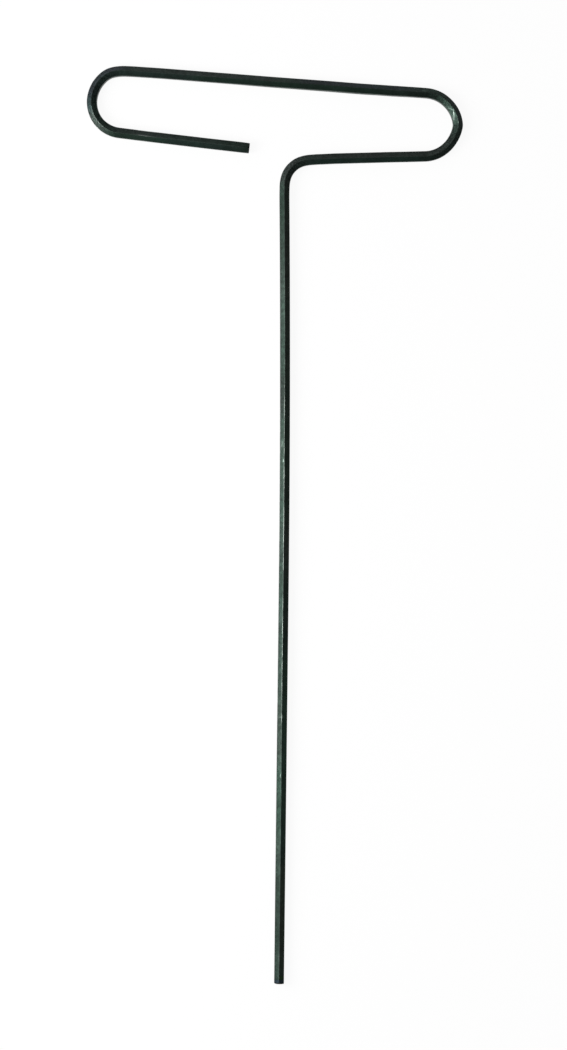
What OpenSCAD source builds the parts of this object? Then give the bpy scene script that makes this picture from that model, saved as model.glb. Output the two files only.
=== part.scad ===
// Hex key with a looped handle, bent from one length of hexagonal steel bar.
// The key lies flat. The tip is at the origin and the blade runs along +Y.
// Every bend lies in the XY plane. Corners of the section point to +Z and -Z.

/* [Section] */
// Hexagon size across the flats, 7/64 inch
across_flats = 2.778; // [2:0.01:4]
// Depth that drawing the bar takes off each sharp corner
corner_break = 0.034; // [0.01:0.002:0.08]
// Length of the small cone cut at both ends of the bar
end_break = 0.3; // [0.22:0.01:0.5]
// Width of the cone cut, measured inward from the corners of the section
end_break_width = 0.24; // [0.12:0.01:0.4]

/* [Blade] */
// Straight part of the blade above the tip
lower_blade = 109.5; // [20:0.1:250]
// Length of the bowed part of the blade, up to the neck bend
upper_blade = 111.8; // [40:0.1:250]
// Slight turn of the blade to the left over its bowed part, in degrees
bow_angle = 1.145935; // [0.2:0.000005:2.4]
// Radius of the neck bend, to the middle of the bar
neck_radius = 7.56; // [4:0.02:16]
// Turn of the neck bend to the right, in degrees
neck_angle = 88.837; // [82:0.001:93]

/* [Handle] */
// Straight arm from the neck bend to the right loop
right_arm = 31.7; // [12:0.1:70]
// Radius of the two flanks of the right loop, to the middle of the bar
flank_radius = 9.46; // [6:0.02:16]
// Radius of the tight nose between the flanks, to the middle of the bar
nose_radius = 2.6; // [2.4:0.05:6]
// Turn of the nose, in degrees
nose_turn = 11.9; // [4:0.1:18]
// Turn of each flank, in degrees
flank_turn = 81.086; // [78:0.001:84]
// Radius of the left loop, to the middle of the bar
left_radius = 8.67; // [6:0.01:16]
// Turn of the left loop, in degrees
left_turn = 177.625; // [171:0.005:183]
// Straight arm on the left that ends free
free_arm = 36.3; // [12:0.1:70]
// Sideways clearance from the free end to the near side of the blade
end_gap = 8.5; // [2:0.1:30]

/* [Hidden] */
sharp_radius = across_flats / 2 / cos(30);
corner_radius = sharp_radius - corner_break;
bow_radius = upper_blade / bow_angle * 180 / PI;
// Headings of the straight runs, in degrees from +X
neck_heading = 90 + bow_angle;
arm_heading = neck_heading - neck_angle;
nose_heading = arm_heading + flank_turn;
rail_heading = nose_heading + nose_turn + flank_turn;
free_heading = rail_heading + left_turn;
// Steps along X, from the upper end of the blade round to the free end
neck_step = neck_radius * (sin(neck_heading) - sin(arm_heading));
arm_step = right_arm * cos(arm_heading);
nose_step = nose_radius * (sin(nose_heading + nose_turn) - sin(nose_heading));
low_flank_step = flank_radius * (sin(nose_heading) - sin(arm_heading));
top_flank_step = flank_radius * (sin(rail_heading) - sin(nose_heading + nose_turn));
left_step = left_radius * (sin(free_heading) - sin(rail_heading));
free_step = free_arm * cos(free_heading);
wanted_step = -end_gap - across_flats / 2;
right_step = low_flank_step + nose_step + top_flank_step;
// The top rail takes up what the other runs leave, so that the gap stays open
other_steps = neck_step + arm_step + right_step + left_step + free_step;
top_rail = (wanted_step - other_steps) / cos(rail_heading);

// Hexagon with a corner up and down, its corners blunted by small flats
module section() {
    intersection() {
        rotate(90)
            circle(r = sharp_radius, $fn = 6);
        circle(r = corner_radius / cos(30), $fn = 6);
    }
}

// Straight run along +Y, the next run starts at its end
module straight(length) {
    rotate([-90, 0, 0])
        linear_extrude(height = length)
            section();
    translate([0, length, 0])
        children();
}

// Straight run whose start is cut to a small cone
module cut_straight(length) {
    intersection() {
        straight(length);
        rotate([-90, 0, 0]) {
            cylinder(
                h = 2 * end_break,
                r1 = corner_radius - end_break_width,
                r2 = corner_radius + end_break_width,
                $fn = 96
            );
            translate([0, 0, 2 * end_break])
                cylinder(h = length, r = corner_radius + end_break_width, $fn = 96);
        }
    }
    translate([0, length, 0])
        children();
}

// Bend to the left from heading +Y, turned a little too far and then cut off
// square where the next run starts
module left_bend(radius, angle, pieces_in_turn = 144) {
    spare_turn = 30 * across_flats / radius;
    translate([-radius, 0, 0]) {
        difference() {
            rotate_extrude(angle = angle + spare_turn, $fn = pieces_in_turn)
                translate([radius, 0])
                    section();
            rotate([0, 0, angle])
                translate([radius - across_flats, 0, -across_flats])
                    cube(2 * across_flats);
        }
        rotate([0, 0, angle])
            translate([radius, 0, 0])
                children();
    }
}

module right_bend(radius, angle) {
    mirror([1, 0, 0])
        left_bend(radius, angle)
            mirror([1, 0, 0])
                children();
}

// The right loop, pulled to a slight point at its outermost place
module right_loop() {
    left_bend(flank_radius, flank_turn)
        left_bend(nose_radius, nose_turn)
            left_bend(flank_radius, flank_turn)
                children();
}

module free_end() {
    translate([0, free_arm, 0])
        mirror([0, 1, 0])
            cut_straight(free_arm);
}

module handle() {
    right_bend(neck_radius, neck_angle)
        straight(right_arm)
            right_loop()
                straight(top_rail)
                    left_bend(left_radius, left_turn)
                        free_end();
}

module hex_key() {
    color([0.16, 0.2, 0.18])
        cut_straight(lower_blade)
            left_bend(bow_radius, bow_angle, 3600)
                handle();
}

hex_key();
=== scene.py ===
import math
import bmesh
import bpy
from mathutils import Matrix, Vector


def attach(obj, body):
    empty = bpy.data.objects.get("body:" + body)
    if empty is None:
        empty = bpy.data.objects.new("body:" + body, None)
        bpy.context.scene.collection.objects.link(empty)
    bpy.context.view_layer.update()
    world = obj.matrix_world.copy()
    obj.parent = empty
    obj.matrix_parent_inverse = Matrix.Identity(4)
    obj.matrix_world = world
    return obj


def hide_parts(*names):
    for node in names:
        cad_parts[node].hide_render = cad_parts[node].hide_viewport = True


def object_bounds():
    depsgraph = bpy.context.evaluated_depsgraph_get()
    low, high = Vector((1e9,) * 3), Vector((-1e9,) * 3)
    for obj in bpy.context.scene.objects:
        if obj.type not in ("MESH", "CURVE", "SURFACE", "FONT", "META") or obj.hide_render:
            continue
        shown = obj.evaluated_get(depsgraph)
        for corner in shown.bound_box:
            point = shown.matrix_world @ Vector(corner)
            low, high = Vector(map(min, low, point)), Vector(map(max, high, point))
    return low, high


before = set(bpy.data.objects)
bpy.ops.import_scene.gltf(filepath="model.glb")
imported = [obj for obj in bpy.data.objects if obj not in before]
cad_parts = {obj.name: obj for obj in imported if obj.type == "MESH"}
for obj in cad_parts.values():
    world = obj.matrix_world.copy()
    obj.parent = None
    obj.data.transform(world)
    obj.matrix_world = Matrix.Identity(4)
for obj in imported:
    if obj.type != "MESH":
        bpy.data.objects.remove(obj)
cadLow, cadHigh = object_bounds()
mm = 0.001


# helpers for meshes
def vertsOf(geom):
    return [g for g in geom if isinstance(g, bmesh.types.BMVert)]


def edgesOf(geom):
    return [g for g in geom if isinstance(g, bmesh.types.BMEdge)]


def addMesh(bm, name):
    mesh = bpy.data.meshes.new(name)
    bm.to_mesh(mesh)
    bm.free()
    thing = bpy.data.objects.new(name, mesh)
    bpy.context.scene.collection.objects.link(thing)
    return thing


# the bent bar, in mm and degrees, with the same sizes as the CAD node
bar = {
    "acrossFlats": 2.778,
    "cornerRounding": 0.2,  # radius that drawing leaves on each long edge
    "cornerSegments": 4,
    "flatCuts": 3,
    "lowerBlade": 109.5,
    "upperBlade": 111.8,
    "bowAngle": 1.145935,
    "neckRadius": 7.56,
    "neckAngle": 88.837,
    "rightArm": 31.7,
    "flankRadius": 9.46,
    "flankAngle": 81.086,
    "noseRadius": 2.6,
    "noseAngle": 11.9,
    "leftRadius": 8.67,
    "leftAngle": 177.625,
    "freeArm": 36.3,
    "endGap": 8.5,  # free end to the near side of the blade
    "ringSpacing": 1.6,  # longest stretch between two rings on a straight run
    "ringTurn": 2.5,  # degrees between two rings in a bend
    "coneLength": 0.3,  # cut at both ends
    "coneWidth": 0.24,
    "coneRings": 6,
    "endSlack": 0.01,  # tolerance when the points and faces of an end are picked
    "mapColumns": 7,  # the bar's skin is folded into this many columns of its UV map
    "mapColumnLength": 64,
    "mapGap": 0.5,
    "tipCornerWear": 0.26,  # more of the cone cut away on the left of the tip
    "tipWear": 0.015,  # share of the width worn off at the tip
    "tipWearLength": 60,
    "ridgeLean": 0.12,  # outward shift of the top and bottom edge in a tight bend
    "leanRadius": 8.7,  # bend radius that gives that shift
    "leanRun": 3.0,  # length over which it grows
    "leanLimit": 100,  # a bend of a larger radius doesn't lean the section
    # slight drift of the top and bottom edge: place along the bar, mm to the right
    "ridgeDrift": [
        (50, 0), (68, -0.06), (80, -0.10), (150, -0.10), (165, -0.03), (175, 0), (276, 0), (281, 0.07),
        (287, 0.07), (291, 0), (391, 0), (396, -0.06), (401, 0), (416, 0), (423, -0.07), (432, -0.07),
        (437, 0)],
    # slow roll of the section that hand bending leaves: place along the bar, degrees to the right
    "roll": [
        (219, 0), (233, 2.5), (262, 2.5), (270, 1.0), (278, 2.5), (290, 2.5), (302, 4.5), (313, 6.0),
        (336, 3.5), (350, 0.5), (366, 0.5), (380, 3.5), (386, 6.0), (392, 2.5), (400, 2.0), (412, 3.0),
        (439, 2.5)],
    # slight waviness of the bent bar: place along the bar, mm to the right
    "sway": [
        (218.5, 0), (222, 0.08), (226.5, -0.08), (228.5, -0.06), (232, 0.08), (235, -0.02), (240, -0.095),
        (253, -0.07), (261, -0.02), (267, -0.01), (274, -0.10), (280, 0.05), (285, 0.03), (289, 0.09),
        (294, 0.10), (303, -0.01), (311, -0.08), (320, -0.04), (334, -0.05), (349, 0.01), (366, 0.05),
        (373, -0.01), (377, -0.12), (381, 0.10), (384.5, -0.04), (387, -0.09), (391, -0.05), (396, 0),
        (402, -0.03), (412, 0.03), (426, 0.03), (438, 0)],
    # slight flattening where the bar was gripped and bent: place along the bar, share wider
    "pressed": [
        (219, 0), (226, 0.032), (234, 0.028), (263, 0.028), (271, 0), (281, -0.01), (288, -0.02),
        (297, -0.015), (301, 0), (393, 0), (399, 0.028), (438, 0.036)],
}


def makeRoute():
    left = 1
    right = -1
    # name, length, turn and radius of each run, from the tip to the free end
    runs = [
        ["lowerBlade", bar["lowerBlade"], 0, 0],
        ["bow", bar["upperBlade"], left * bar["bowAngle"], 0],
        ["neck", 0, right * bar["neckAngle"], bar["neckRadius"]],
        ["rightArm", bar["rightArm"], 0, 0],
        ["lowFlank", 0, left * bar["flankAngle"], bar["flankRadius"]],
        ["nose", 0, left * bar["noseAngle"], bar["noseRadius"]],
        ["topFlank", 0, left * bar["flankAngle"], bar["flankRadius"]],
        ["topRail", 0, 0, 0],
        ["leftLoop", 0, left * bar["leftAngle"], bar["leftRadius"]],
        ["freeArm", bar["freeArm"], 0, 0],
    ]
    route = []
    for name, length, turn, radius in runs:
        turn = math.radians(turn)
        if turn and radius:
            length = radius * abs(turn)
        elif turn:
            radius = length / abs(turn)
        route.append({"name": name, "length": length, "turn": turn, "radius": radius})
    # the top rail takes up what the other runs leave, so that the gap stays open
    heading = math.pi / 2
    reach = 0
    for run in route:
        if run["name"] == "neck":
            reach = 0  # the gap is measured from the upper end of the blade
        if run["name"] == "topRail":
            rail = run
            railHeading = heading
        if run["turn"]:
            side = math.copysign(run["radius"], run["turn"])
            reach += side * (math.sin(heading + run["turn"]) - math.sin(heading))
            heading += run["turn"]
        else:
            reach += run["length"] * math.cos(heading)
    wanted = -bar["endGap"] - bar["acrossFlats"] / 2
    rail["length"] = (wanted - reach) / math.cos(railHeading)
    along = 0
    for run in route:
        run["start"] = along
        along += run["length"]
    return route


route = makeRoute()
barLength = sum(run["length"] for run in route)


def smooth(share):
    return share * share * (3 - 2 * share)


def knotAt(knots, along):
    # smooth value between the places of a list, which starts from nothing
    for (start, first), (end, second) in zip(knots, knots[1:]):
        if start < along <= end:
            return first + (second - first) * smooth((along - start) / (end - start))
    return knots[-1][1] if along > knots[-1][0] else 0


def leanAt(along):
    # signed shift of the top and bottom edge, to the right of the way that the bar runs
    lean = knotAt(bar["ridgeDrift"], along)
    for run in route:
        if run["turn"] and run["radius"] < bar["leanLimit"]:
            inside = min(along - run["start"], run["start"] + run["length"] - along)
            share = min(max(0.5 + inside / bar["leanRun"], 0), 1)
            size = bar["ridgeLean"] * bar["leanRadius"] / max(run["radius"], bar["leanRadius"])
            lean += math.copysign(size * smooth(share), run["turn"])
    return lean


def wearAt(along):
    # width left, as a share of the full width
    rest = max(1 - along / bar["tipWearLength"], 0)
    return 1 - bar["tipWear"] * rest * rest


def sectionSpot(place):
    # place on the section alone, rounded so that all rings share the same spots
    return round(place.x, 4), round(place.z, 4)


def layOutMap(bm, coord):
    # unrolls the skin of the bar, seam at the bottom, and folds the long strip into columns
    uvMap = bm.loops.layers.uv.new("OFBake")
    ring = {sectionSpot(v[coord]) for v in bm.verts}
    ring = sorted(ring, key=lambda place: math.atan2(place[0], place[1]))
    reach = {}
    girth = 0
    for place, following in zip(ring, ring[1:] + ring[:1]):
        reach[place] = girth
        girth += math.dist(place, following)
    column = girth + bar["mapGap"]
    size = bar["mapColumns"] * column
    for face in bm.faces:
        places = [v[coord] for v in face.verts]
        if len(places) > 4:
            # the two flat ends lie above the last column, one on each half of its width
            across = 0.25 if places[0].y < barLength / 2 else 0.75
            centre = Vector((size - column * across, bar["mapColumnLength"] - column / 2))
            spots = [centre + Vector((place.x, place.z)) for place in places]
        else:
            turn = int(sum(place.y for place in places) / len(places) / bar["mapColumnLength"])
            corner = Vector((turn * column, bar["ringSpacing"] - turn * bar["mapColumnLength"]))
            rounds = [reach[sectionSpot(place)] for place in places]
            if max(rounds) - min(rounds) > girth / 2:
                rounds = [far if far > girth / 2 else far + girth for far in rounds]
            spots = [corner + Vector((far, place.y)) for far, place in zip(rounds, places)]
        for loop, spot in zip(face.loops, spots):
            loop[uvMap].uv = spot / size


def makeSection(bm, coord, edgeNear):
    # hexagon with an edge up and an edge down, standing across the blade
    sharp = bar["acrossFlats"] / 2 / math.cos(math.radians(30))
    bmesh.ops.create_circle(bm, cap_ends=True, segments=6, radius=sharp)
    bmesh.ops.bevel(
        bm, geom=bm.verts[:], offset=bar["cornerRounding"] * math.tan(math.radians(30)),
        offset_type="OFFSET", segments=bar["cornerSegments"], profile=0.5,
        affect="VERTICES", material=-1)
    for v in bm.verts:
        v[edgeNear] = 1
    flats = [e for e in bm.edges if e.calc_length() > sharp / 2]
    cut = bmesh.ops.subdivide_edges(bm, edges=flats, cuts=bar["flatCuts"])
    for v in vertsOf(cut["geom_inner"]):
        v[edgeNear] = 0
    bmesh.ops.rotate(bm, verts=bm.verts, matrix=Matrix.Rotation(math.radians(90), 3, "X"))
    for v in bm.verts:
        v[coord] = v.co


def shearRing(bm, verts, across, slide, hinge):
    # moves the top and bottom edge the same way, and less and less what is nearer to the hinge
    for side in (1, -1):
        shear = Matrix.Identity(4)
        shear[0][2] = across.x * slide * side
        shear[1][2] = across.y * slide * side
        outer = [v for v in verts if v.co.z * side > hinge]
        space = Matrix.Translation(-Vector((0, 0, side * hinge)))
        bmesh.ops.transform(bm, matrix=shear, verts=outer, space=space)


def settle(bm, coord, pen, step, highest):
    # shapes the ring that was just made, as wear and bending leave it
    before = pen["along"]
    after = before + step
    verts = vertsOf(pen["ring"])
    heading = pen["heading"]
    across = Vector((math.sin(heading), -math.cos(heading), 0))
    worn = wearAt(after) / wearAt(before)
    wider = (1 + knotAt(bar["pressed"], after)) / (1 + knotAt(bar["pressed"], before))
    middle = pen["place"] + across * knotAt(bar["sway"], before)
    local = Matrix.Rotation(-heading, 4, "Z") @ Matrix.Translation(-middle)
    bmesh.ops.scale(bm, vec=(1, worn * wider, worn), verts=verts, space=local)
    slide = (leanAt(after) - leanAt(before)) / (highest / 2)
    if slide:
        shearRing(bm, verts, across, slide, highest / 2)
    way = Vector((math.cos(heading), math.sin(heading), 0))
    turn = math.radians(knotAt(bar["roll"], after) - knotAt(bar["roll"], before))
    bmesh.ops.rotate(bm, cent=pen["place"], matrix=Matrix.Rotation(turn, 3, way), verts=verts)
    shift = knotAt(bar["sway"], after) - knotAt(bar["sway"], before)
    bmesh.ops.translate(bm, vec=across * shift, verts=verts)
    for v in verts:
        v[coord].y = after
    pen["along"] = after


def carry(bm, pen, run, share):
    # makes one more ring, a share of the run further on
    heading = pen["heading"]
    if run["turn"]:
        turn = run["turn"] * share
        toCentre = Vector((-math.sin(heading), math.cos(heading), 0))
        centre = pen["place"] + toCentre * math.copysign(run["radius"], turn)
        made = bmesh.ops.spin(
            bm, geom=pen["ring"], cent=centre, axis=Vector((0, 0, 1)), angle=turn, steps=1,
            use_duplicate=False)
        pen["ring"] = made["geom_last"]
        pen["place"] = centre + Matrix.Rotation(turn, 3, "Z") @ (pen["place"] - centre)
        pen["heading"] += turn
    else:
        made = bmesh.ops.extrude_edge_only(bm, edges=edgesOf(pen["ring"]))
        pen["ring"] = vertsOf(made["geom"]) + edgesOf(made["geom"])
        step = Vector((math.cos(heading), math.sin(heading), 0)) * (run["length"] * share)
        bmesh.ops.translate(bm, verts=vertsOf(pen["ring"]), vec=step)
        pen["place"] = pen["place"] + step


def sharesOf(run):
    # how a run is divided into steps, with finer ones where an end is cut
    cuts = math.ceil(run["length"] / bar["ringSpacing"])
    cuts = max(cuts, math.ceil(abs(math.degrees(run["turn"])) / bar["ringTurn"]))
    fine = bar["coneLength"] / run["length"]
    tips = [fine / bar["coneRings"]] * bar["coneRings"]
    if run is route[0]:
        return tips + [(1 - fine) / cuts] * cuts
    if run is route[-1]:
        return [(1 - fine) / cuts] * cuts + tips
    return [1 / cuts] * cuts


def cutCone(bm, end, axis, highest):
    # the small cone cut at one end, axis points into the bar
    for v in bm.verts:
        depth = (v.co - end).dot(axis)
        if -bar["endSlack"] < depth < bar["coneLength"] and (v.co - end).length < 2 * highest:
            foot = end + axis * depth
            arm = v.co - foot
            width = bar["coneWidth"]
            if end.length < highest:
                width += bar["tipCornerWear"] * max(-arm.x / highest, 0)
            limit = highest - width * (1 - depth / bar["coneLength"])
            if arm.length > limit:
                v.co = foot + arm * (limit / arm.length)


def makeBar():
    bm = bmesh.new()
    coord = bm.verts.layers.float_vector.new("barCoord")
    edgeNear = bm.verts.layers.float.new("edgeNear")
    makeSection(bm, coord, edgeNear)
    highest = max(v.co.z for v in bm.verts)
    bmesh.ops.scale(bm, vec=Vector((1, 1, 1)) * wearAt(0), verts=bm.verts)

    # the pen carries the ring along the route
    tip = Vector((0, 0, 0))
    pen = {"ring": bm.verts[:] + bm.edges[:], "place": tip, "heading": math.pi / 2, "along": 0}
    for run in route:
        for share in sharesOf(run):
            carry(bm, pen, run, share)
            settle(bm, coord, pen, run["length"] * share, highest)
    bmesh.ops.contextual_create(bm, geom=edgesOf(pen["ring"]))
    print("bar swept:", len(bm.verts), "points,", round(pen["along"], 2), "mm of bar")

    cutCone(bm, tip, Vector((0, 1, 0)), highest)
    back = -Vector((math.cos(pen["heading"]), math.sin(pen["heading"]), 0))
    cutCone(bm, pen["place"], back, highest)
    bmesh.ops.recalc_face_normals(bm, faces=bm.faces)
    layOutMap(bm, coord)
    bmesh.ops.scale(bm, vec=Vector((mm, mm, mm)), verts=bm.verts)
    return addMesh(bm, "bentHexBar")


# helpers for the node trees of the materials
def put(tree, kind, **settings):
    node = tree.nodes.new(kind)
    for key, value in settings.items():
        setattr(node, key, value)
    return node


def feed(tree, node, values):
    for key, value in values.items():
        if isinstance(value, bpy.types.NodeSocket):
            tree.links.new(value, node.inputs[key])
        else:
            node.inputs[key].default_value = value
    return node.outputs


def sums(tree, operation, first, second=0.0, clamp=False):
    node = put(tree, "ShaderNodeMath", operation=operation, use_clamp=clamp)
    return feed(tree, node, {0: first, 1: second})[0]


def ease(tree, value, low, high, start=0.0, end=1.0):
    # goes smoothly from start to end while value goes from low to high
    node = put(tree, "ShaderNodeMapRange", interpolation_type="SMOOTHSTEP")
    wanted = {"Value": value, "From Min": low, "From Max": high, "To Min": start, "To Max": end}
    return feed(tree, node, wanted)["Result"]


def blend(tree, share, first, second, way="MIX"):
    node = put(tree, "ShaderNodeMix", data_type="RGBA", blend_type=way)
    return feed(tree, node, {0: share, 6: first, 7: second})[2]


def noise(tree, coord, scale=1.0, detail=2.0, roughness=0.6, warp=0.0):
    return feed(tree, put(tree, "ShaderNodeTexNoise"), {
        "Vector": coord, "Scale": scale, "Detail": detail, "Roughness": roughness,
        "Distortion": warp})[0]


def stretched(tree, coord, across, length):
    # coordinates divided by a size across the bar and one along it
    size = feed(tree, put(tree, "ShaderNodeCombineXYZ"), {0: across, 1: length, 2: across})[0]
    node = put(tree, "ShaderNodeVectorMath", operation="DIVIDE")
    return feed(tree, node, {0: coord, 1: size})[0]


def startGroup(name, inputs, outputs):
    tree = bpy.data.node_groups.new(name, "ShaderNodeTree")
    for way, sockets in (("INPUT", inputs), ("OUTPUT", outputs)):
        for label, kind in sockets.items():
            tree.interface.new_socket(name=label, in_out=way, socket_type="NodeSocket" + kind)
    return tree, put(tree, "NodeGroupInput").outputs, put(tree, "NodeGroupOutput")


def use(tree, group, values):
    node = put(tree, "ShaderNodeGroup", node_tree=group)
    return feed(tree, node, values)


# the patterns that the finishes share
patterns = {
    "broadWidth": 3.3,  # broad lines of the grain, wider and longer than the fine ones
    "broadLength": 2.1,
    "fineShare": 0.6,
    "broadShare": 0.4,
    "cloudRange": (0.28, 0.72),  # noise that gives no cloud and a full one
    "speckRange": (0.56, 0.72),
    "speckFineness": 7.3,  # how much smaller the specks are than the clouds
    "rubBreak": 1.3,  # mm round the bar of a break in the rubbing
    "rubLevel": 0.8,  # noise from which an edge that was hardly rubbed is bright
    "rubReach": 0.6,  # how far the amount lowers that
    "rubFade": 0.12,
    "rubBright": 0.7,
    "rubEven": 0.55,  # rubbing between the bright places
    "rubNear": 0.88,  # how near to an edge the rubbing starts, 1 is on it
    "sideFade": 0.12,  # mm on both sides of the top edge over which a one-sided zone fades
    "strokeFineness": 6.0,  # rough rim of a scratch
    "strokeWidths": (0.6, 0.8),  # least width and what noise adds, as shares
}


def makeDrawnGrain():
    # fine lines that the drawing die leaves along the bar
    tree, given, end = startGroup(
        "drawnGrain", {"Coord": "Vector", "Width": "Float", "Length": "Float"}, {"Grain": "Float"})
    fine = noise(tree, stretched(tree, given["Coord"], given["Width"], given["Length"]))
    wide = sums(tree, "MULTIPLY", given["Width"], patterns["broadWidth"])
    longer = sums(tree, "MULTIPLY", given["Length"], patterns["broadLength"])
    broad = noise(tree, stretched(tree, given["Coord"], wide, longer), roughness=0.5)
    fine = sums(tree, "MULTIPLY", fine, patterns["fineShare"])
    broad = sums(tree, "MULTIPLY", broad, patterns["broadShare"])
    feed(tree, end, {"Grain": sums(tree, "ADD", fine, broad)})
    return tree


def makeOxideMottle():
    # clouds and small specks of thicker and thinner oxide
    tree, given, end = startGroup(
        "oxideMottle", {"Coord": "Vector", "Size": "Float"}, {"Cloud": "Float", "Speck": "Float"})
    scale = sums(tree, "DIVIDE", 1.0, given["Size"])
    cloud = noise(tree, given["Coord"], scale, detail=4.0, roughness=0.62, warp=0.3)
    smaller = sums(tree, "MULTIPLY", scale, patterns["speckFineness"])
    speck = noise(tree, given["Coord"], smaller, detail=3.0)
    feed(tree, end, {
        "Cloud": ease(tree, cloud, *patterns["cloudRange"]),
        "Speck": ease(tree, speck, *patterns["speckRange"])})
    return tree


def makeEdgeRub():
    # broken rubbing along the long edges, which in the oxide also paints the highlight of the top edge
    tree, given, end = startGroup(
        "edgeRub",
        {"Edge": "Float", "Coord": "Vector", "Amount": "Float", "Run": "Float"}, {"Rub": "Float"})
    where = stretched(tree, given["Coord"], patterns["rubBreak"], given["Run"])
    breaks = noise(tree, where, detail=5.0, roughness=0.7)
    lowered = sums(tree, "MULTIPLY", given["Amount"], patterns["rubReach"])
    level = sums(tree, "SUBTRACT", patterns["rubLevel"], lowered)
    low = sums(tree, "SUBTRACT", level, patterns["rubFade"])
    high = sums(tree, "ADD", level, patterns["rubFade"])
    bright = sums(tree, "MULTIPLY", ease(tree, breaks, low, high), patterns["rubBright"])
    even = sums(tree, "MULTIPLY", given["Amount"], patterns["rubEven"])
    rub = sums(tree, "ADD", bright, even, clamp=True)
    narrow = ease(tree, given["Edge"], patterns["rubNear"], 1.0)
    feed(tree, end, {"Rub": sums(tree, "MULTIPLY", narrow, rub)})
    return tree


def makeBarZone():
    # a stretch of the bar with soft, uneven ends, Side picks its left (-1) or right (1) faces
    values = ("Uneven", "Start", "End", "Fade", "Side")
    tree, given, end = startGroup(
        "barZone", {"Coord": "Vector", **dict.fromkeys(values, "Float")}, {"Mask": "Float"})
    parts = feed(tree, put(tree, "ShaderNodeSeparateXYZ"), {0: given["Coord"]})
    uneven = sums(tree, "SUBTRACT", given["Uneven"], 0.5)
    along = sums(tree, "ADD", parts["Y"], sums(tree, "MULTIPLY", uneven, given["Fade"]))
    half = sums(tree, "MULTIPLY", given["Fade"], 0.5)

    def change(place, first, last):
        # goes from first to last over the fade, where the bar passes a place
        low = sums(tree, "SUBTRACT", place, half)
        return ease(tree, along, low, sums(tree, "ADD", place, half), first, last)

    rise = change(given["Start"], 0.0, 1.0)
    fall = change(given["End"], 1.0, 0.0)
    anySide = sums(tree, "SUBTRACT", 1.0, sums(tree, "ABSOLUTE", given["Side"]))
    sided = sums(tree, "ADD", sums(tree, "MULTIPLY", given["Side"], parts["X"]), anySide)
    onSide = ease(tree, sided, -patterns["sideFade"], patterns["sideFade"])
    inside = sums(tree, "MULTIPLY", rise, fall)
    feed(tree, end, {"Mask": sums(tree, "MULTIPLY", inside, onSide)})
    return tree


def makeScratchStroke():
    # one short scratch on the upper faces, from one place of the bar to another
    tree, given, end = startGroup(
        "scratchStroke",
        {"Coord": "Vector", "From": "Vector", "To": "Vector", "Width": "Float"}, {"Mask": "Float"})

    def vectorMath(operation, first, second):
        return feed(tree, put(tree, "ShaderNodeVectorMath", operation=operation), {0: first, 1: second})

    parts = feed(tree, put(tree, "ShaderNodeSeparateXYZ"), {0: given["Coord"]})
    flat = vectorMath("MULTIPLY", given["Coord"], (1, 1, 0))[0]
    way = vectorMath("SUBTRACT", given["To"], given["From"])[0]
    here = vectorMath("SUBTRACT", flat, given["From"])[0]
    reach = vectorMath("DOT_PRODUCT", here, way)["Value"]
    whole = vectorMath("DOT_PRODUCT", way, way)["Value"]
    share = sums(tree, "DIVIDE", reach, whole, clamp=True)
    step = put(tree, "ShaderNodeVectorMath", operation="SCALE")
    nearest = feed(tree, step, {0: way, "Scale": share})[0]
    off = vectorMath("DISTANCE", here, nearest)["Value"]
    least, added = patterns["strokeWidths"]
    rim = noise(tree, given["Coord"], patterns["strokeFineness"], detail=3.0, roughness=0.7)
    ragged = sums(tree, "ADD", least, sums(tree, "MULTIPLY", rim, added))
    wide = sums(tree, "MULTIPLY", given["Width"], ragged)
    mask = ease(tree, off, 0.0, wide, start=1.0, end=0.0)
    mask = sums(tree, "MULTIPLY", mask, sums(tree, "GREATER_THAN", parts["Z"], 0.0))
    feed(tree, end, {"Mask": mask})
    return tree


drawnGrain = makeDrawnGrain()
oxideMottle = makeOxideMottle()
edgeRub = makeEdgeRub()
barZone = makeBarZone()
scratchStroke = makeScratchStroke()
print("shader groups built")
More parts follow.
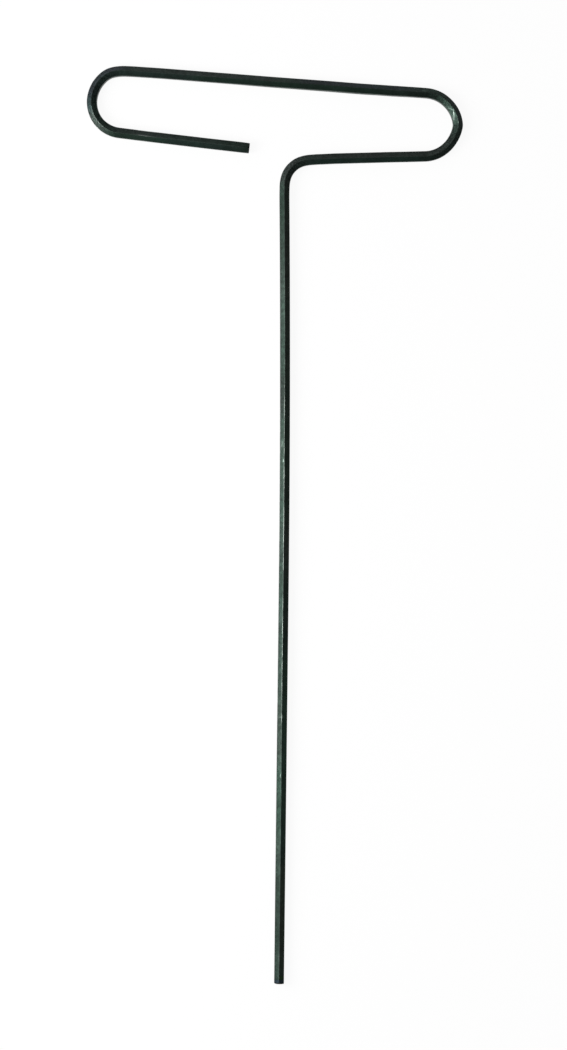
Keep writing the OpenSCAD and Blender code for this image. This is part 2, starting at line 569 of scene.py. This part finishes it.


# the oxide finish with some painted highlight and shade, sizes in mm, colours in linear light
oxide = {
    "green": (0.0240, 0.0460, 0.0340, 1),
    "neutral": (0.0285, 0.0445, 0.0365, 1),
    # bare steel of rubbed edges, also the colour of the painted highlight along the top edge
    "bareAndHighlight": (0.42, 0.48, 0.44, 1),
    "metallic": 0.8,
    "hueSize": 26.0,
    "cloudSize": 5.0,
    "mottleSize": 0.9,
    "grainWidth": 0.11,
    "grainLength": 3.2,
    "cloudShare": 0.15,  # how far each pattern changes the colour
    "mottleShare": 0.27,
    "speckShare": 0.40,
    "speckLeast": 0.96,  # factor where there is no speck
    "ridgeShare": 0.11,  # how much lighter the faces get towards the top and bottom edge
    "ridgeRange": (0.75, 1.6),  # mm above or below the middle of the bar, where that starts and ends
    "grainShare": 0.30,
    "zoneFineness": 0.7,  # scale of the noise that makes the ends of the stretches uneven
    "roughness": 0.41,
    "roughSpread": 0.10,
    "rubRoughness": 0.25,
    "peelSize": 0.42,  # crushed oxide in the bends
    "peelShare": 0.50,
    "peelRange": (0.35, 0.65),
    "bumpDepth": 0.006,
    "grainHeight": 0.7,  # shares of that depth
    "speckDepth": 0.25,
    "wornDepth": 0.4,
    # stretches where the colour differs, partly the oxide's own tone and tint and partly painted
    # highlight and shade that follow the key lamp's reflection along the lit faces: start, end, fade,
    # side, and what the colour is multiplied by
    "toneAndLightPatches": {
        "tipShade": (-2.0, 1.1, 0.5, 0, (1.05, 1.00, 1.75)),
        "tipBand": (1.3, 2.2, 0.6, 1, (1.0, 1.45, 0.62)),
        "tipLight": (2.0, 8.0, 5.0, -1, (1.32, 1.24, 1.27)),
        # painted shade: the lit left face darker where the key lamp's reflection fades towards the tip
        "paintedShadeLower": (13.0, 32.0, 7.0, -1, (0.86, 0.89, 0.86)),
        "lightLower": (36.0, 43.0, 5.0, -1, (1.30, 1.32, 1.30)),
        "greenLower": (42.0, 58.0, 9.0, -1, (0.88, 1.05, 0.98)),
        "lightSpot": (53.0, 61.0, 6.0, -1, (1.15, 1.14, 1.15)),
        "greyMiddle": (61.0, 80.0, 7.0, -1, (1.15, 1.06, 1.05)),
        "lightMiddle": (99.0, 108.0, 6.0, -1, (1.16, 1.12, 1.15)),
        "dimBow": (110.0, 116.0, 4.0, -1, (0.90, 0.90, 0.89)),
        "warmBow": (138.0, 156.0, 6.0, -1, (1.10, 1.02, 1.04)),
        # painted highlight: the lit left face lighter where the key lamp's reflection is strongest
        "paintedHighlightStretch": (146.0, 153.0, 5.0, -1, (1.14, 1.11, 1.12)),
        "dullStretch": (157.0, 169.0, 6.0, -1, (0.67, 0.60, 0.63)),
        "lightUpper": (187.0, 198.0, 6.0, -1, (1.20, 1.14, 1.16)),
        # painted shade: the lit left face darker where the key lamp's reflection fades towards the neck
        "paintedShadeUpper": (199.0, 221.0, 8.0, -1, (0.76, 0.82, 0.78)),
        "brownRight": (3.0, 33.0, 6.0, 1, (1.45, 1.20, 1.15)),
        "greenRight": (36.0, 92.0, 10.0, 1, (1.15, 1.34, 1.24)),
        "lightRight": (62.0, 78.0, 6.0, 1, (1.22, 1.28, 1.24)),
        "warmMiddle": (98.0, 160.0, 10.0, 1, (1.10, 1.00, 1.02)),
        "greyBow": (114.0, 127.0, 5.0, 1, (1.36, 1.24, 1.26)),
        "warmUpper": (168.0, 224.0, 10.0, 1, (1.18, 0.96, 1.00)),
        "neckLight": (222.5, 229.5, 4.0, -1, (1.78, 1.41, 1.55)),
        "neckGrey": (222.0, 234.0, 5.0, 1, (1.15, 1.02, 1.12)),
        "armGrey": (233.0, 268.0, 6.0, -1, (1.25, 1.08, 1.14)),
        "armGreen": (233.0, 265.0, 6.0, 1, (0.88, 1.04, 1.08)),
        "lowFlankDull": (268.0, 276.0, 4.0, -1, (0.94, 0.87, 0.89)),
        "lowFlankDark": (264.0, 290.0, 6.0, 1, (0.68, 0.66, 0.70)),
        "loopShine": (276.5, 287.0, 4.0, -1, (1.30, 1.34, 1.32)),
        "railStart": (289.5, 297.0, 3.0, -1, (0.74, 0.72, 0.74)),
        "railBlue": (296.0, 328.0, 10.0, 1, (0.96, 0.80, 1.05)),
        "railGreen": (304.0, 356.0, 12.0, -1, (0.88, 1.06, 1.00)),
        "railLight": (334.0, 374.0, 10.0, 1, (1.30, 1.10, 1.20)),
        "railTeal": (357.0, 378.0, 8.0, -1, (1.06, 1.02, 1.14)),
        "loopStart": (374.0, 380.0, 3.0, 1, (0.92, 0.84, 0.94)),
        "loopBlue": (377.0, 388.0, 4.0, 1, (1.34, 1.03, 1.40)),
        "loopInside": (378.0, 389.0, 4.0, -1, (1.12, 1.00, 1.16)),
        "loopTeal": (387.5, 392.5, 3.0, 1, (1.28, 1.26, 1.55)),
        "loopGrey": (392.5, 400.0, 3.0, 1, (1.22, 0.95, 1.05)),
        "endLighter": (389.0, 431.0, 6.0, 0, (1.16, 1.16, 1.16)),
        "freeGreen": (399.0, 417.0, 6.0, 1, (0.98, 1.14, 1.06)),
        "freeGrey": (407.0, 431.0, 6.0, -1, (1.16, 1.05, 1.10)),
        "freeTeal": (415.0, 436.0, 6.0, 1, (1.08, 1.03, 1.14)),
    },
    # bends where the oxide was crushed: start, end and fade
    "crushed": {
        "neck": (222.0, 232.0, 5.0),
        "lowFlank": (266.0, 279.0, 5.0),
        "topFlank": (284.0, 292.0, 5.0),
        "leftLoop": (378.5, 400.0, 6.0),
    },
    # rubbing of the long edges, and painted highlight where the key lamp's reflection runs along the lit
    # left side of the top edge: start, end, fade, side and amount
    "rubsAndRidgeHighlights": {
        "everywhere": (-10.0, 500.0, 1.0, 0, 0.12),
        "tipRidge": (1.5, 11.0, 3.0, -1, 0.16),
        "bladeRidge": (36.0, 200.0, 20.0, -1, 0.10),
        "lowerRidge": (72.0, 109.0, 6.0, -1, 0.28),
        "middleRidge": (112.0, 166.0, 8.0, -1, 0.28),
        "brightRidge": (123.0, 131.0, 3.0, -1, 0.50),
        "loopRidge": (391.5, 398.0, 3.0, 0, 0.22),
        "armRidge": (404.0, 432.0, 5.0, -1, 0.14),
        "armSpot": (407.5, 412.5, 2.0, 0, 0.30),
    },
    "rubRun": 4.5,
    "rubGrain": (0.25, 0.6),  # grain at which the rubbing is weakest and full
    "rubLeast": 0.35,
    # single scratches: from and to as mm right of the ridge and mm along the bar, width, and how bright
    "scratches": {
        "loopFirst": ((-1.08, 280.3), (-0.74, 281.4), 0.40, 0.34),
        "loopBright": ((-0.66, 281.6), (-0.50, 282.3), 0.22, 0.85),
        "loopRidge": ((-0.46, 282.4), (-0.26, 282.9), 0.20, 0.40),
        "loopBack": ((-0.50, 283.1), (-1.05, 284.2), 0.22, 0.30),
        "loopFaint": ((-0.10, 278.9), (-0.06, 280.2), 0.14, 0.35),
        "bladeSpot": ((-0.30, 57.4), (-0.28, 58.3), 0.15, 0.40),
        "bladeCross": ((-1.10, 74.0), (0.50, 74.2), 0.16, 0.22),
        "bladeFleck": ((-0.30, 145.0), (-0.28, 145.5), 0.22, 0.60),
        "bladeCloud": ((-0.95, 149.2), (-0.60, 150.4), 0.50, 0.16),
        "railFleck": ((0.30, 292.0), (0.32, 293.0), 0.34, 0.12),
    },
    "scratchColour": (0.30, 0.37, 0.33, 1),
}


def startSteel(name):
    mat = bpy.data.materials.new(name)
    mat.use_nodes = True
    tree = mat.node_tree
    coord = put(tree, "ShaderNodeAttribute", attribute_name="barCoord").outputs["Vector"]
    edge = put(tree, "ShaderNodeAttribute", attribute_name="edgeNear").outputs["Fac"]
    return mat, tree, tree.nodes["Principled BSDF"], coord, edge


def spread(tree, value, share):
    # a pattern of 0 to 1 turned into a factor round 1
    return feed(tree, put(tree, "ShaderNodeMapRange"), {
        "Value": value, "From Min": 0.0, "From Max": 1.0,
        "To Min": 1 - share, "To Max": 1 + share})["Result"]


def makeOxideSteel():
    mat, tree, shader, coord, edge = startSteel("blackOxideSteel")
    grain = use(tree, drawnGrain, {
        "Coord": coord, "Width": oxide["grainWidth"], "Length": oxide["grainLength"]})["Grain"]
    fine = use(tree, oxideMottle, {"Coord": coord, "Size": oxide["mottleSize"]})
    clouds = use(tree, oxideMottle, {"Coord": coord, "Size": oxide["cloudSize"]})["Cloud"]
    hue = use(tree, oxideMottle, {"Coord": coord, "Size": oxide["hueSize"]})["Cloud"]

    height = sums(tree, "ABSOLUTE", feed(tree, put(tree, "ShaderNodeSeparateXYZ"), {0: coord})["Z"])
    factors = [
        spread(tree, grain, oxide["grainShare"]),
        spread(tree, clouds, oxide["cloudShare"]),
        spread(tree, fine["Cloud"], oxide["mottleShare"]),
        ease(tree, fine["Speck"], 0.0, 1.0, oxide["speckLeast"], 1 + oxide["speckShare"]),
        spread(tree, ease(tree, height, *oxide["ridgeRange"]), oxide["ridgeShare"]),
    ]
    level = factors[0]
    for factor in factors[1:]:
        level = sums(tree, "MULTIPLY", level, factor)
    colour = blend(tree, hue, oxide["green"], oxide["neutral"])
    colour = blend(tree, 1.0, colour, level, "MULTIPLY")
    uneven = noise(tree, coord, oxide["zoneFineness"], detail=3.0)

    def zone(start, end, fade, side):
        return use(tree, barZone, {
            "Coord": coord, "Uneven": uneven, "Start": start, "End": end, "Fade": fade,
            "Side": side})["Mask"]

    # the patches give the oxide's own tone and tint, and painted highlight and shade along the lit faces
    for start, end, fade, side, factor in oxide["toneAndLightPatches"].values():
        colour = blend(tree, zone(start, end, fade, side), colour, factor + (1,), "MULTIPLY")
    crushed = 0.0
    for start, end, fade in oxide["crushed"].values():
        crushed = sums(tree, "ADD", crushed, zone(start, end, fade, 0))
    peel = ease(tree, noise(tree, coord, 1 / oxide["peelSize"]), *oxide["peelRange"])
    colour = blend(tree, crushed, colour, spread(tree, peel, oxide["peelShare"]), "MULTIPLY")

    # rubbing of the edges, and painted highlight on the lit left side of the top edge where the key lamp
    # reflects
    amount = 0.0
    for start, end, fade, side, more in oxide["rubsAndRidgeHighlights"].values():
        rubbed = sums(tree, "MULTIPLY", zone(start, end, fade, side), more)
        amount = sums(tree, "ADD", amount, rubbed)
    rub = use(tree, edgeRub, {
        "Edge": edge, "Coord": coord, "Amount": amount, "Run": oxide["rubRun"]})["Rub"]
    streaks = ease(tree, grain, *oxide["rubGrain"], start=oxide["rubLeast"])
    rub = sums(tree, "MULTIPLY", rub, streaks)
    colour = blend(tree, rub, colour, oxide["bareAndHighlight"])

    scratched = 0.0
    for first, last, width, bright in oxide["scratches"].values():
        mask = use(tree, scratchStroke, {
            "Coord": coord, "From": first + (0,), "To": last + (0,), "Width": width})["Mask"]
        scratched = sums(tree, "MAXIMUM", scratched, sums(tree, "MULTIPLY", mask, bright))
    colour = blend(tree, scratched, colour, oxide["scratchColour"])

    rough = feed(tree, put(tree, "ShaderNodeMapRange"), {
        "Value": fine["Cloud"], "From Min": 0.0, "From Max": 1.0,
        "To Min": oxide["roughness"] + oxide["roughSpread"] / 2,
        "To Max": oxide["roughness"] - oxide["roughSpread"] / 2})["Result"]
    worn = sums(tree, "MAXIMUM", rub, scratched)
    swap = put(tree, "ShaderNodeMix")
    rough = feed(tree, swap, {0: worn, 2: rough, 3: oxide["rubRoughness"]})[0]

    height = sums(tree, "MULTIPLY", grain, oxide["grainHeight"])
    for mask, depth in ((fine["Speck"], oxide["speckDepth"]), (worn, oxide["wornDepth"])):
        height = sums(tree, "SUBTRACT", height, sums(tree, "MULTIPLY", mask, depth))
    normal = feed(tree, put(tree, "ShaderNodeBump"), {
        "Height": height, "Strength": 1.0, "Distance": oxide["bumpDepth"] * mm})[0]
    feed(tree, shader, {
        "Base Color": colour, "Roughness": rough, "Normal": normal, "Metallic": oxide["metallic"]})
    return mat


# the two cut ends, sizes in mm
cutEnd = {
    "dark": (0.030, 0.036, 0.036, 1),
    "light": (0.052, 0.060, 0.058, 1),
    "rim": (0.12, 0.135, 0.13, 1),
    "lineWidth": 0.07,
    "lineLength": 1.6,
    "lineTurn": 78.0,
    "lineRange": (0.3, 0.7),
    "stainSize": 0.9,
    "stainShare": 0.3,
    "rimRub": 0.45,  # amount and run of the rubbing round the rim
    "rimRun": 0.3,
    "metallic": 0.8,
    "roughness": (0.42, 0.60),
    "bumpDepth": 0.012,
}


def makeCutEnd():
    mat, tree, shader, coord, edge = startSteel("cutEndSteel")
    turned = feed(tree, put(tree, "ShaderNodeMapping"), {
        "Vector": coord, "Rotation": (0, math.radians(cutEnd["lineTurn"]), math.radians(90))})[0]
    lines = use(tree, drawnGrain, {
        "Coord": turned, "Width": cutEnd["lineWidth"], "Length": cutEnd["lineLength"]})["Grain"]
    stain = use(tree, oxideMottle, {"Coord": coord, "Size": cutEnd["stainSize"]})["Cloud"]
    share = ease(tree, lines, *cutEnd["lineRange"])
    colour = blend(tree, share, cutEnd["dark"], cutEnd["light"])
    colour = blend(tree, 1.0, colour, spread(tree, stain, cutEnd["stainShare"]), "MULTIPLY")
    rub = use(tree, edgeRub, {
        "Edge": edge, "Coord": coord, "Amount": cutEnd["rimRub"], "Run": cutEnd["rimRun"]})["Rub"]
    colour = blend(tree, rub, colour, cutEnd["rim"])
    rough = ease(tree, stain, 0.0, 1.0, *cutEnd["roughness"])
    normal = feed(tree, put(tree, "ShaderNodeBump"), {
        "Height": lines, "Strength": 1.0, "Distance": cutEnd["bumpDepth"] * mm})[0]
    feed(tree, shader, {
        "Base Color": colour, "Roughness": rough, "Normal": normal, "Metallic": cutEnd["metallic"]})
    return mat


def dressBar(piece):
    # oxide all along, and the cut look on the end faces and their cones
    piece.data.materials.append(makeOxideSteel())
    piece.data.materials.append(makeCutEnd())
    coords = piece.data.attributes["barCoord"].data
    endZone = bar["coneLength"] + bar["endSlack"]
    for poly in piece.data.polygons:
        poly.use_smooth = len(poly.vertices) == 4
        places = [coords[v].vector.y for v in poly.vertices]
        if max(places) < endZone or min(places) > barLength - endZone:
            poly.material_index = 1


piece = makeBar()
dressBar(piece)
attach(piece, "root")
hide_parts("hex_key")
print("bar piece done:", len(piece.data.polygons), "faces")

# the floor and the low backdrop round it, in metres
stage = {
    "halfSize": 12.0,
    "wallHeight": 2.2,
    "colour": (0.86, 0.86, 0.86, 1),
    "whiteForCamera": 0.93,
    "shadowForCamera": 0.12,
}


def makeFloorLook():
    mat = bpy.data.materials.new("paleStudioFloor")
    mat.use_nodes = True
    tree = mat.node_tree
    tree.nodes.clear()
    plain = feed(tree, put(tree, "ShaderNodeBsdfDiffuse"), {"Color": stage["colour"]})[0]
    shadow = (stage["shadowForCamera"],) * 3 + (1,)
    faint = feed(tree, put(tree, "ShaderNodeBsdfDiffuse"), {"Color": shadow})[0]
    glow = feed(tree, put(tree, "ShaderNodeEmission"), {"Strength": stage["whiteForCamera"]})[0]
    seen = feed(tree, put(tree, "ShaderNodeAddShader"), {0: faint, 1: glow})[0]
    # camera rays meet the bright floor, also mirrored or seen through, and all others the plain one
    path = put(tree, "ShaderNodeLightPath").outputs
    share = sums(tree, "MAXIMUM", path["Is Camera Ray"], path["Is Glossy Ray"])
    share = sums(tree, "MAXIMUM", share, path["Is Transmission Ray"])
    picked = feed(tree, put(tree, "ShaderNodeMixShader"), {0: share, 1: plain, 2: seen})[0]
    feed(tree, put(tree, "ShaderNodeOutputMaterial"), {"Surface": picked})
    return mat


def makeStage():
    bm = bmesh.new()
    bmesh.ops.create_grid(bm, x_segments=1, y_segments=1, size=stage["halfSize"])
    rim = [e for e in bm.edges if e.is_boundary]
    walls = bmesh.ops.extrude_edge_only(bm, edges=rim)
    bmesh.ops.translate(bm, verts=vertsOf(walls["geom"]), vec=(0, 0, stage["wallHeight"]))
    bmesh.ops.translate(bm, verts=bm.verts, vec=(0, 0, cadLow.z))
    floor = addMesh(bm, "paleFloor")
    floor.data.materials.append(makeFloorLook())


makeStage()
print("floor done")

# lamps round the key: azimuth and elevation in degrees, distance and size in metres, power in watts
lights = {
    "aim": (0, 0.127, 0),
    "world": 0.157,
    "lamps": {
        "keyLamp": {
            "azimuth": 182, "elevation": 38.7, "distance": 0.433, "size": (0.243, 0.303),
            "power": 1.23, "colour": (1.0, 1.0, 1.0)},
        "fillLamp": {
            "azimuth": 128, "elevation": 26.4, "distance": 0.8, "size": (1.14, 0.5),
            "power": 1.20, "colour": (1.0, 0.84, 0.97)},
        "lowLamp": {
            "azimuth": 227, "elevation": 35.3, "distance": 0.8, "size": (0.244, 0.5),
            "power": 0.47, "colour": (0.88, 1.0, 0.97)},
    },
}


def addLamp(name, lamp):
    data = bpy.data.lights.new(name, "AREA")
    data.shape = "RECTANGLE"
    data.size, data.size_y = lamp["size"]
    data.energy = lamp["power"]
    data.color = lamp["colour"]
    thing = bpy.data.objects.new(name, data)
    bpy.context.scene.collection.objects.link(thing)
    a = math.radians(lamp["azimuth"])
    e = math.radians(lamp["elevation"])
    out = Vector((math.cos(a) * math.cos(e), math.sin(a) * math.cos(e), math.sin(e)))
    thing.location = Vector(lights["aim"]) + out * lamp["distance"]
    thing.rotation_euler = out.to_track_quat("Z", "Y").to_euler()


for name, lamp in lights["lamps"].items():
    addLamp(name, lamp)
world = bpy.data.worlds.new("softRoom")
world.use_nodes = True
world.node_tree.nodes["Background"].inputs["Color"].default_value = (1, 1, 1, 1)
world.node_tree.nodes["Background"].inputs["Strength"].default_value = lights["world"]
bpy.context.scene.world = world
print("lights done")

# the camera looks straight down, in metres and degrees
shot = {
    "centre": (-0.00026, 0.127405),
    "height": 1.0,
    "turn": 0.677,
    "pixel": 0.2778,  # mm across one pixel of the photograph at the height of the bar
    "pixelsHigh": 1050,
    "sensor": 36,  # mm
    "clip": (0.01, 100),
}
camData = bpy.data.cameras.new("topCamera")
camera = bpy.data.objects.new("topCamera", camData)
bpy.context.scene.collection.objects.link(camera)
camera.location = (shot["centre"][0], shot["centre"][1], shot["height"])
camera.rotation_euler = (0, 0, math.radians(shot["turn"]))
camData.sensor_width = shot["sensor"]
camData.lens = camData.sensor_width * shot["height"] / (shot["pixel"] * mm * shot["pixelsHigh"])
camData.clip_start, camData.clip_end = shot["clip"]
bpy.context.scene.camera = camera
bpy.context.scene.view_settings.view_transform = "Standard"
print("camera done")
